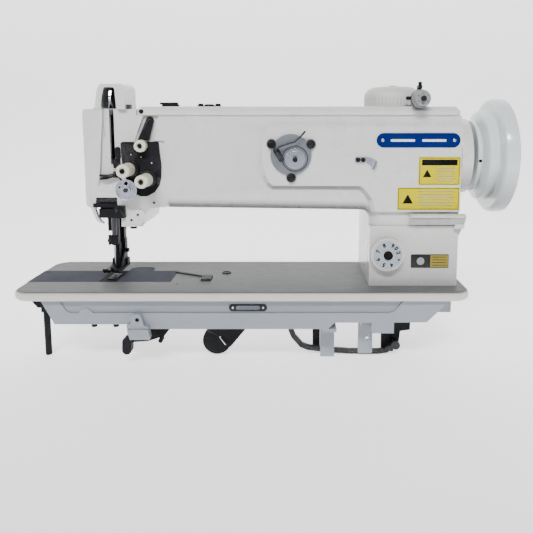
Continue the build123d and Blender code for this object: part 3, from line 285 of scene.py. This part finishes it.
M = {
    # the arm paint carries painted shade towards the bed and on its undersides
    "arm_paint": paint("arm_paint", (0.66, 0.675, 0.655), rough=0.27, coat=0.5, wear=(0.25, (0.45, 0.45, 0.43)), foot=0.55),
    "under_paint": paint("under_paint", (0.27, 0.295, 0.335), rough=0.36, coat=0.25, var=0.07, grime=0.2, wear=(0.5, (0.30, 0.32, 0.34))),
    "wheel_paint": paint("wheel_paint", (0.68, 0.735, 0.76), rough=0.2, coat=0.8, var=0.03),
    "dark_plate": slate("dark_plate", (0.058, 0.060, 0.080), rough=0.7),
    "needle_slate": slate("needle_slate", (0.020, 0.0205, 0.025), rough=0.7),
    "black_steel": blackened("black_steel"),
    "steel": metal("steel", (0.52, 0.52, 0.54), rough=0.26),
    "dark_steel": metal("dark_steel", (0.075, 0.075, 0.082), rough=0.32),
    "zinc": metal("zinc", (0.24, 0.265, 0.30), rough=0.42, grain=(5, 5, 5)),
    "dial_grey": plastic("dial_grey", (0.26, 0.275, 0.28), rough=0.4, corner_shade=0.5),
    # the dark top colour of the bed is painted shade; the rim colour is the enamel's own
    "bed_paint": bed_enamel("bed_paint", (0.135, 0.14, 0.138), (0.62, 0.615, 0.58)),
    "chrome": metal("chrome", (0.50, 0.52, 0.62), rough=0.16, grain=(6, 6, 6), edge_lift=0.3),
    "cream_plastic": plastic("cream_plastic", (0.70, 0.68, 0.56), rough=0.4, sub=0.05, corner_shade=0.5),
    "dial_plastic": plastic("dial_plastic", (0.60, 0.605, 0.58), rough=0.42, corner_shade=0.5),
    "blue_plate": plastic("blue_plate", (0.001, 0.012, 0.125), rough=0.4, var=0.03, grainy=0.01, corner_shade=0.1, spec=0.06),
    "label_yellow": plastic("label_yellow", (0.60, 0.51, 0.0), rough=0.6, corner_shade=0.1, grainy=0.02, spec=0.0),
    "badge_black": blackened("badge_black", base=(0.018, 0.018, 0.02), rough=0.3, metallic=0.2, wearc=(0.25, 0.24, 0.2)),
    "bronze": metal("bronze", (0.56, 0.38, 0.17), rough=0.3),
    "belt_rubber": plastic("belt_rubber", (0.02, 0.02, 0.021), rough=0.7, grainy=0.25),
    "white_ink": plastic("white_ink", (0.80, 0.81, 0.80), rough=0.45, grainy=0.03),
    "black_ink": plastic("black_ink", (0.006, 0.006, 0.007), rough=0.6, grainy=0.04, spec=0.08),
    "grey_ink": plastic("grey_ink", (0.28, 0.29, 0.31), rough=0.5, grainy=0.04),
    "red_ink": plastic("red_ink", (0.62, 0.06, 0.04), rough=0.4, grainy=0.03),
    "gold_foil": metal("gold_foil", (0.30, 0.235, 0.055), rough=0.4, grain=(1, 1, 20)),
    "gap_dark": plastic("gap_dark", (0.03, 0.03, 0.032), rough=0.7, grainy=0.1),
    "dial_face": plastic("dial_face", (0.34, 0.385, 0.43), rough=0.38, grainy=0.02),
    "badge_slate": paint("badge_slate", (0.075, 0.085, 0.12), rough=0.3, coat=0.5, var=0.1, wear=(0.6, (0.5, 0.5, 0.52))),
}

SLOT = {s["node"]: s["material_slot"] for s in frame["record"]["subparts"]}
LOOK = {"bed_plate": "bed_paint", "needle_plate": "needle_slate", "needle_bar": "dark_steel", "walking_bar": "dark_steel", "needle_bar_frame": "dark_steel",
        "presser_spring": "dark_steel", "tension_posts": "dark_steel", "winder_lever": "black_steel", "feed_dog": "dark_steel",
        "winder_plate": "zinc", "winder_tension": "black_steel", "winder_tension_dial": "dial_grey"}
BEVEL = {
    "arm_casting": (1.6, 3), "bed_plate": (0.35, 2), "underbed_frame": (0.9, 2), "top_cover": (0.7, 2), "face_plate": (1.0, 3),
    "take_up_guard": (0.5, 2), "handwheel": (0.9, 3), "shaft_collar": (1.0, 2), "reverse_lever": (1.4, 3), "lift_dial": (0.5, 2),
    "knee_lever": (1.4, 3), "treadle_bar": (1.0, 2), "black_brackets": (0.7, 2), "front_brackets": (0.8, 2), "right_bracket": (0.7, 2),
    "winder_plate": (0.6, 2), "slide_plate_left": (0.15, 2), "slide_plate_right": (0.15, 2), "needle_plate": (0.15, 2),
    "walking_foot": (0.45, 2), "presser_foot": (0.5, 2), "presser_bar": (0.6, 2), "needle": (0.0, 0), "name_plate": (0.2, 2),
    "label_plates": (0.08, 1), "badges": (0.15, 2), "stitch_dial": (0.25, 2), "bell_crank": (0.9, 2),
}


def finish_mesh(o, width, segs, angle=32):
    w = o.modifiers.new("weld", "WELD")
    w.merge_threshold = 0.00001
    if width > 0:
        b = o.modifiers.new("soft_edge", "BEVEL")
        b.width = width / 1000
        b.segments = segs
        b.limit_method = "ANGLE"
        b.angle_limit = math.radians(angle)
        b.use_clamp_overlap = True
        b.harden_normals = False
        b.miter_outer = "MITER_ARC"
    n = o.modifiers.new("normals", "WEIGHTED_NORMAL")
    n.keep_sharp = True
    n.weight = 60


for name, o in NODES.items():
    o.data.materials.clear()
    o.data.materials.append(M[LOOK.get(name, SLOT[name])])
    for p in o.data.polygons:
        p.material_index = 0
    width, segs = BEVEL.get(name, (0.3, 2))
    finish_mesh(o, width, segs)

# ---------------------------------------------------------------------------
# helpers for the pieces made here
# ---------------------------------------------------------------------------
def add_obj(name, mesh, body, mat, smooth=True):
    o = bpy.data.objects.new(name, mesh)
    bpy.context.scene.collection.objects.link(o)
    if smooth:
        mesh.polygons.foreach_set("use_smooth", [True] * len(mesh.polygons))
    mesh.materials.clear()
    mesh.materials.append(M[mat] if isinstance(mat, str) else mat)
    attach(o, body)
    return o


def bevelled(o, width, segs=2, angle=35):
    b = o.modifiers.new("soft_edge", "BEVEL")
    b.width = width / 1000
    b.segments = segs
    b.limit_method = "ANGLE"
    b.angle_limit = math.radians(angle)
    n = o.modifiers.new("normals", "WEIGHTED_NORMAL")
    n.keep_sharp = True
    return o


AX = {
    "-Y": Matrix(((1, 0, 0), (0, 0, -1), (0, 1, 0))),      # local x = X, y = Z, z = -Y
    "+Y": Matrix(((-1, 0, 0), (0, 0, 1), (0, 1, 0))),
    "+Z": Matrix(((1, 0, 0), (0, 1, 0), (0, 0, 1))),
    "-X": Matrix(((0, 0, -1), (-1, 0, 0), (0, 1, 0))),
    "+X": Matrix(((0, 0, 1), (1, 0, 0), (0, 1, 0))),
}


def oriented(bm, at, axis, spin=0.0):
    rot = AX[axis].to_4x4()
    bmesh.ops.transform(bm, matrix=Matrix.Translation(at) @ rot @ Matrix.Rotation(spin, 4, "Z"), verts=bm.verts)


def lathe(name, profile, at, axis, body, mat, steps=48, spin=0.0, holes=None):
    """A turned piece: profile is (radius, height) in millimetres along the axis, closed onto the axis."""
    bm = bmesh.new()
    rings = []
    for r, h in profile:
        if r < 1e-6:
            rings.append([bm.verts.new((0, 0, h / 1000))])
        else:
            rings.append([bm.verts.new((r / 1000 * math.cos(2 * math.pi * i / steps), r / 1000 * math.sin(2 * math.pi * i / steps), h / 1000)) for i in range(steps)])
    for a, b in zip(rings[:-1], rings[1:]):
        if len(a) == 1 and len(b) == 1:
            continue
        for i in range(steps):
            j = (i + 1) % steps
            if len(a) == 1:
                bm.faces.new((a[0], b[i], b[j]))
            elif len(b) == 1:
                bm.faces.new((a[i], a[j], b[0]))
            else:
                bm.faces.new((a[i], a[j], b[j], b[i]))
    bmesh.ops.recalc_face_normals(bm, faces=bm.faces)
    oriented(bm, at, axis, spin)
    me = bpy.data.meshes.new(name)
    bm.to_mesh(me)
    bm.free()
    o = add_obj(name, me, body, mat)
    n = o.modifiers.new("normals", "WEIGHTED_NORMAL")
    n.keep_sharp = True
    return o


def prism(name, outline, thick, at, axis, body, mat, bev=0.15, segs=2, spin=0.0):
    """A flat piece from a closed outline in millimetres, local x and y, thickness along the axis."""
    bm = bmesh.new()
    vs = [bm.verts.new((x / 1000, y / 1000, 0)) for x, y in outline]
    f = bm.faces.new(vs)
    if f.normal.z < 0:
        bmesh.ops.reverse_faces(bm, faces=[f])
    r = bmesh.ops.extrude_face_region(bm, geom=[f])
    top = [v for v in r["geom"] if isinstance(v, bmesh.types.BMVert)]
    bmesh.ops.translate(bm, verts=top, vec=(0, 0, thick / 1000))
    bmesh.ops.recalc_face_normals(bm, faces=bm.faces)
    oriented(bm, at, axis, spin)
    me = bpy.data.meshes.new(name)
    bm.to_mesh(me)
    bm.free()
    o = add_obj(name, me, body, mat)
    if bev > 0:
        bevelled(o, bev, segs)
    return o


def rect(w, h, r=0.0, n=5):
    if r <= 0:
        return [(-w / 2, -h / 2), (w / 2, -h / 2), (w / 2, h / 2), (-w / 2, h / 2)]
    pts = []
    for cx, cy, a0 in ((w / 2 - r, h / 2 - r, 0), (-w / 2 + r, h / 2 - r, 90), (-w / 2 + r, -h / 2 + r, 180), (w / 2 - r, -h / 2 + r, 270)):
        for i in range(n + 1):
            a = math.radians(a0 + 90 * i / n)
            pts.append((cx + r * math.cos(a), cy + r * math.sin(a)))
    return pts


def frame_outline(name, w, h, r, wide, thick, at, axis, body, mat):
    """A thin closed line round a plate."""
    outer, inner = rect(w, h, r), rect(w - 2 * wide, h - 2 * wide, max(r - wide, 0.05))
    bm = bmesh.new()
    n = len(outer)
    lv = []
    for z in (0, thick / 1000):
        lv.append([bm.verts.new((x / 1000, y / 1000, z)) for x, y in outer])
        lv.append([bm.verts.new((x / 1000, y / 1000, z)) for x, y in inner])
    for i in range(n):
        j = (i + 1) % n
        bm.faces.new((lv[0][i], lv[0][j], lv[1][j], lv[1][i]))
        bm.faces.new((lv[2][i], lv[3][i], lv[3][j], lv[2][j]))
        bm.faces.new((lv[0][i], lv[2][i], lv[2][j], lv[0][j]))
        bm.faces.new((lv[1][i], lv[1][j], lv[3][j], lv[3][i]))
    bmesh.ops.recalc_face_normals(bm, faces=bm.faces)
    oriented(bm, at, axis)
    me = bpy.data.meshes.new(name)
    bm.to_mesh(me)
    bm.free()
    return add_obj(name, me, body, mat, smooth=False)


def text(name, s, size, at, axis, body, mat, spin=0.0, depth=0.12, bold=0.0):
    cu = bpy.data.curves.new(name, "FONT")
    cu.body = s
    cu.size = size / 1000
    cu.align_x = "CENTER"
    cu.align_y = "CENTER"
    cu.extrude = depth / 1000
    cu.offset = bold / 1000
    tmp = bpy.data.objects.new(name + "_tmp", cu)
    bpy.context.scene.collection.objects.link(tmp)
    bpy.context.view_layer.update()
    me = bpy.data.meshes.new_from_object(tmp)
    bpy.data.objects.remove(tmp)
    me.transform(Matrix.Translation(at) @ AX[axis].to_4x4() @ Matrix.Rotation(spin, 4, "Z"))
    return add_obj(name, me, body, mat, smooth=False)


def screw(name, x, y, z, r, h, axis, body, mat="black_steel", slotted=True, spin=0.3, dome=0.35):
    """A screw head with a real slot cut in its face."""
    bm = bmesh.new()
    steps = 28
    half = r * 0.13
    prof = [(r, 0.0), (r, h * 0.62), (r * 0.93, h * 0.82), (r * 0.8, h)]
    rings = []
    for rr, hh in prof:
        rings.append([bm.verts.new((rr / 1000 * math.cos(2 * math.pi * (i + 0.5) / steps), rr / 1000 * math.sin(2 * math.pi * (i + 0.5) / steps), hh / 1000)) for i in range(steps)])
    for a, b in zip(rings[:-1], rings[1:]):
        for i in range(steps):
            j = (i + 1) % steps
            bm.faces.new((a[i], a[j], b[j], b[i]))
    bm.faces.new(rings[-1])
    bm.faces.new(list(reversed(rings[0])))
    bmesh.ops.recalc_face_normals(bm, faces=bm.faces)
    if slotted:
        for s in (-1, 1):
            bmesh.ops.bisect_plane(bm, geom=bm.verts[:] + bm.edges[:] + bm.faces[:], plane_co=(0, s * half / 1000, 0), plane_no=(0, 1, 0))
        bmesh.ops.bisect_plane(bm, geom=bm.verts[:] + bm.edges[:] + bm.faces[:], plane_co=(0, 0, h * 0.55 / 1000), plane_no=(0, 0, 1))
        for v in bm.verts:
            if abs(v.co.y) <= half / 1000 + 1e-7 and v.co.z > h * 0.6 / 1000:
                pass
        top = [f for f in bm.faces if f.normal.z > 0.9 and abs(f.calc_center_median().y) < half * 0.9 / 1000 and f.calc_center_median().z > h * 0.9 / 1000]
        if top:
            r_ = bmesh.ops.extrude_face_region(bm, geom=top)
            vs = [v for v in r_["geom"] if isinstance(v, bmesh.types.BMVert)]
            bmesh.ops.translate(bm, verts=vs, vec=(0, 0, -h * 0.45 / 1000))
            bmesh.ops.delete(bm, geom=top, context="FACES")
    bmesh.ops.recalc_face_normals(bm, faces=bm.faces)
    oriented(bm, W(x, y, z), axis, spin)
    me = bpy.data.meshes.new(name)
    bm.to_mesh(me)
    bm.free()
    return add_obj(name, me, body, mat, smooth=False)


ROOT = "machine_frame"
FRONT = mm("name_plate")[0][1]          # front face of the raised panel's plates
# stitch length dial: pale face, digits, ticks and cap
dx, dz = centre("stitch_dial")[0], centre("stitch_dial")[2]
dy = mm("stitch_dial")[0][1] + 1.6
lathe("stitch_dial_face", [(7.2, -0.3), (7.2, 0.25), (19.8, 0.25), (20.2, 0.05), (20.2, -0.3)], W(dx, dy, dz), "-Y", "stitch_dial_unit",
      "dial_face", steps=72)
for s_, a_ in (("9", 64.7), ("8", 112), ("7", 158.8), ("6", 205), ("5", 248), ("4", 291.5), ("3", 337.6), ("2", 14), ("0", 41)):
    a = math.radians(a_)
    text("stitch_digit_" + s_, s_, 7.6, W(dx + 14.8 * math.cos(a), dy - 0.25, dz + 14.8 * math.sin(a)), "-Y", "stitch_dial_unit",
         "black_ink", spin=a - math.pi / 2, bold=0.38)
for i in range(36):
    a = math.radians(10 * i + 5)
    prism("stitch_tick_%02d" % i, rect(0.45, 1.5), 0.12, W(dx + 19.0 * math.cos(a), dy - 0.22, dz + 19.0 * math.sin(a)), "-Y", "stitch_dial_unit",
          "grey_ink", bev=0, spin=a - math.pi / 2)
lathe("stitch_dial_cap", [(6.5, -0.5), (6.5, 1.4), (5.8, 2.0), (3.0, 2.2), (0, 2.2)], W(dx, dy - 1.4, dz), "-Y", "stitch_dial_unit", "black_ink")
# bobbin winder tension dial
wx, wz = centre("winder_tension_dial")[0], centre("winder_tension_dial")[2]
wy = mm("winder_tension_dial")[0][1]
for i in range(6):
    a = math.radians(90 - 60 * i)
    text("winder_digit_%d" % i, str(i), 4.4, W(wx + 7.2 * math.cos(a), wy - 0.02, wz + 7.2 * math.sin(a)), "-Y", "winder_dial_unit",
         "black_ink", spin=a - math.pi / 2)
lathe("winder_dial_band", [(11.35, 0.0), (12.1, -6.0), (12.55, -10.0), (12.9, -10.0), (12.5, -6.0), (11.8, 0.0)], W(wx, wy + 5.0, wz), "-Y", "winder_dial_unit",
      "grey_ink", steps=60)
lathe("winder_dial_cap", [(3.8, -0.5), (3.8, 1.2), (3.2, 1.8), (0, 1.8)], W(wx, mm("winder_tension")[0][1] + 0.2, wz), "-Y", ROOT, "black_steel")

# blue plate: a plain line and two rivets
pc, (p0, p1) = centre("name_plate"), mm("name_plate")
for i, (x, w) in enumerate(((-22, 34.0), (22, 34.0))):
    prism("name_plate_bar_%d" % i, rect(w, 3.4, 1.6), 0.2, W(pc[0] + x, FRONT + 0.02, pc[2] - 0.2), "-Y", ROOT, "white_ink", bev=0.05)
for i, x in enumerate((p0[0] + 8.4, p1[0] - 8.4)):
    lathe("name_plate_rivet_%d" % i, [(2.5, -0.2), (2.4, 0.7), (1.8, 1.2), (0, 1.4)], W(x, FRONT, pc[2]), "-Y", ROOT, "steel", steps=24)
bc, (b0, b1) = centre("badges"), mm("badges")
for i, x in enumerate((186.5, 229.5)):
    lathe("bed_badge_rivet_%d" % i, [(1.8, -0.2), (1.7, 0.5), (1.1, 0.9), (0, 1.0)], W(x, b0[1], -25.4), "-Y", ROOT, "steel", steps=20)
prism("bed_badge_field", rect(34, 6.0, 2.9), 0.2, W(208, b0[1] + 0.02, -25.4), "-Y", ROOT, "badge_slate", bev=0.05)
# split face of the column badge
prism("badge_gold", rect(25.6, 17.8, 0.6), 0.25, W(482.6, -50.8, 36.6), "-Y", ROOT, "gold_foil", bev=0.05)
for i, z in enumerate((42.6, 38.6, 34.6, 30.6)):
    prism("badge_line_%d" % i, rect(20.0, 0.7), 0.12, W(482.6, -51.04, z), "-Y", ROOT, "black_ink", bev=0)
prism("badge_disc", rect(11.0, 11.0, 5.4), 0.2, W(455.8, -50.8, 36.6), "-Y", ROOT, "grey_ink", bev=0.05)
# plain fields on the yellow panels
LY = mm("label_plates")[0][1] + 0.02
frame_outline("label_border_top", 56.5, 37.6, 0.8, 0.7, 0.12, W(478.2, LY, 167.2), "-Y", ROOT, "black_ink")
frame_outline("label_border_low", 85.5, 30.0, 0.8, 0.7, 0.12, W(463.8, LY, 127.8), "-Y", ROOT, "black_ink")
prism("label_band_top", rect(50.0, 8.0, 0.5), 0.12, W(478.2, LY, 179.4), "-Y", ROOT, "black_ink", bev=0)
prism("label_mark_top", [(-6.0, -4.6), (6.0, -4.6), (0.6, 5.4), (-0.6, 5.4)], 0.12, W(461.0, LY, 163.2), "-Y", ROOT, "black_ink", bev=0)
for i, z in enumerate((170.4, 166.8, 163.2, 159.6, 156.0, 152.4)):
    prism("label_row_top_%d" % i, rect(28.0 if i % 2 == 0 else 23.0, 1.0), 0.1, W(487.0, LY, z), "-Y", ROOT, "grey_ink", bev=0)
prism("label_mark_low", [(-7.4, -5.8), (7.4, -5.8), (0.6, 6.6), (-0.6, 6.6)], 0.12, W(434.5, LY, 126.8), "-Y", ROOT, "black_ink", bev=0)
for i, z in enumerate((138.2, 134.2, 130.2, 126.2, 122.2, 118.2)):
    prism("label_row_low_%d" % i, rect(52.0 if i % 2 == 0 else 46.0, 1.1), 0.1, W(474.5, LY, z), "-Y", ROOT, "grey_ink", bev=0)
# winder: thin dark ring round the spindle disc and its dark centre
sc = centre("winder_spindle")
lathe("winder_ring", [(18.4, -0.1), (18.4, 0.5), (17.0, 0.5), (17.0, -0.1)], W(sc[0], mm("winder_plate")[0][1], sc[2]), "-Y", ROOT, "dark_steel", steps=64)
lathe("winder_spindle_tip", [(3.5, -0.2), (3.5, 1.0), (2.4, 1.8), (0, 2.0)], W(sc[0], mm("winder_spindle")[0][1], sc[2]), "-Y", "winder_spindle_unit", "black_steel", steps=28)
# slotted screws: tension plate, head front, face plate side, cover lip
TY = mm("tension_plate")[0][1]
for i, (x, z) in enumerate(((56.5, 186.5), (42.0, 190.0), (71.0, 178.0))):
    lathe("plate_dot_%d" % i, [(0.9, -0.1), (0.9, 0.25), (0.6, 0.35), (0, 0.35)], W(x, TY, z), "-Y", ROOT, "white_ink", steps=20)
for i, (y, z) in enumerate(((-30, 238), (38, 238), (-30, 135), (38, 135))):
    screw("face_screw_%d" % i, mm("face_plate")[0][0] + 2.2, y, z, 4.0, 2.4, "-X", ROOT, spin=0.4 + i)
screw("lug_screw", 72.2, mm("arm_casting")[0][1] + 7.0, 120.6, 1.0, 0.5, "-Y", ROOT)
# set screw of the handwheel hub and oil hole plug rim
screw("slide_screw_left", -112.0, 22.0, -1.0, 2.3, 0.8, "+Z", "slide_plate_unit", spin=0.5)
lathe("cover_mark", [(3.4, -0.1), (3.4, 0.4), (2.6, 0.8), (0, 0.9)], W(59.5, mm("top_cover")[0][1], 250.5), "-Y", ROOT, "black_steel", steps=24)
for side_, node in (("left", "tension_nut_left"), ("right", "tension_nut_right"), ("pre", "pretension_nut")):
    c_ = centre(node)
    f_ = mm(node)[0][1]
    lathe("post_tip_" + side_, [(3.0, -0.4), (3.0, 0.5), (2.4, 0.8), (0, 0.8)], W(c_[0], f_ - (0.2 if side_ == "pre" else 1.0), c_[2]), "-Y", ROOT,
          "black_ink", steps=28)
lathe("hub_set_screw", [(2.3, -1.0), (2.3, 0.8), (1.8, 1.2), (1.0, 1.2), (0.9, 0.6), (0, 0.6)], W(535.6, -52.6, 181.5), "-Y", "main_shaft_unit",
      "black_steel", steps=24)
# painted shade: a dark sheet behind the take-up guard standing in for the shade in the gap
prism("guard_gap_shade", [(-2.0, 0.4), (36.0, 0.4), (34.6, 29.0), (33.0, 31.6), (5.0, 31.6), (2.0, 28.0)], 1.6, W(0, 6.0, 254.4), "-Y", ROOT,
      "gap_dark", bev=0.3)
prism("guard_web", [(19.6, 0.4), (30.5, 0.4), (28.0, 25.0), (21.4, 28.6)], 3.0, W(0, -22.0, 254.4), "-Y", ROOT, "dark_steel", bev=0.4)
# painted highlight: a bright steel strip on the knee lever where a light line falls
prism("knee_highlight_strip", rect(3.0, 16.0, 1.4), 0.4, W(166.0, mm("knee_lever")[0][1] + 1.2, -93.0), "-Y", "knee_lever_unit", "steel", bev=0.1, spin=0.6)

# ---------------------------------------------------------------------------
# camera, light and floor
# ---------------------------------------------------------------------------
cam_data = bpy.data.cameras.new("camera")
cam = bpy.data.objects.new("camera", cam_data)
bpy.context.scene.collection.objects.link(cam)
cam_data.sensor_width = 36.0
cam_data.lens = 572.33 / 533.0 * 36.0
cam_data.shift_x = (266.5 - 292.0) / 533.0
cam_data.shift_y = (190.92 - 266.5) / 533.0
cam_data.clip_start = 0.01
cam.location = W(270.49, -856.31, 243.27)
cam.rotation_euler = (math.radians(90 - 7.393), 0, 0)
bpy.context.scene.camera = cam


def plain(name, base, rough):
    m, nt, b, vec = new_mat(name)
    n = noise(nt, vec, 3.0, 3.0, 0.5)
    nt.links.new(mix_rgba(nt, remap(nt, n, 0, 1), tint(base, 0.985), base), b.inputs["Base Color"])
    b.inputs["Roughness"].default_value = rough
    return m


def sweep():
    """Floor that rises in one smooth curve behind the machine."""
    prof = [(-4.0, 0.0), (0.9, 0.0)]
    for i in range(1, 13):
        a = math.radians(90 * i / 12)
        prof.append((0.9 + 0.9 * math.sin(a), 0.9 * (1 - math.cos(a))))
    prof.append((1.8, 4.0))
    bm = bmesh.new()
    rows = [[bm.verts.new((x, y, z)) for x in (-5.0, 5.0)] for y, z in prof]
    for a, b in zip(rows[:-1], rows[1:]):
        bm.faces.new((a[0], a[1], b[1], b[0]))
    me = bpy.data.meshes.new("floor")
    bm.to_mesh(me)
    bm.free()
    me.polygons.foreach_set("use_smooth", [True] * len(me.polygons))
    o = bpy.data.objects.new("floor", me)
    bpy.context.scene.collection.objects.link(o)
    pale = plain("floor_pale", (0.92, 0.92, 0.92), 0.95)
    pb = [n for n in pale.node_tree.nodes if n.type == "BSDF_PRINCIPLED"][0]
    # painted light: the floor and backdrop glow white, strength 1.0 at the front rising to 1.6 at the back, though
    # they are no lamp
    pb.inputs["Emission Color"].default_value = (1, 1, 1, 1)
    nt = pale.node_tree
    sep = nt.nodes.new("ShaderNodeSeparateXYZ")
    nt.links.new([n for n in nt.nodes if n.type == "TEX_COORD"][0].outputs["Object"], sep.inputs[0])
    nt.links.new(remap(nt, sep.outputs[1], 1.0, 1.6, -0.6, 1.4), pb.inputs["Emission Strength"])
    pb.inputs["Specular IOR Level"].default_value = 0.1
    me.materials.append(pale)


sweep()


def area(name, loc, target, size, power, color=(1, 1, 1), spread=180):
    d = bpy.data.lights.new(name, "AREA")
    d.shape = "RECTANGLE"
    d.size = size[0]
    d.size_y = size[1]
    d.energy = power
    d.color = color
    d.spread = math.radians(spread)
    o = bpy.data.objects.new(name, d)
    bpy.context.scene.collection.objects.link(o)
    o.location = loc
    o.rotation_euler = (Vector(target) - Vector(loc)).to_track_quat("-Z", "Y").to_euler()
    return o


area("key", (-0.25, -1.7, 1.70), (0.0, 0, 0.30), (2.6, 0.3), 8.5, spread=40)
area("fill", (0.5, -2.3, 0.6), (0.0, 0, 0.2), (2.2, 1.0), 2.2)
area("top", (0.1, 0.25, 1.7), (0, 0.1, 0.2), (1.6, 0.8), 2.5)
world = bpy.data.worlds.new("studio")
bpy.context.scene.world = world
world.use_nodes = True
world.node_tree.nodes["Background"].inputs[0].default_value = (1.0, 1.0, 1.0, 1)
world.node_tree.nodes["Background"].inputs[1].default_value = 0.12
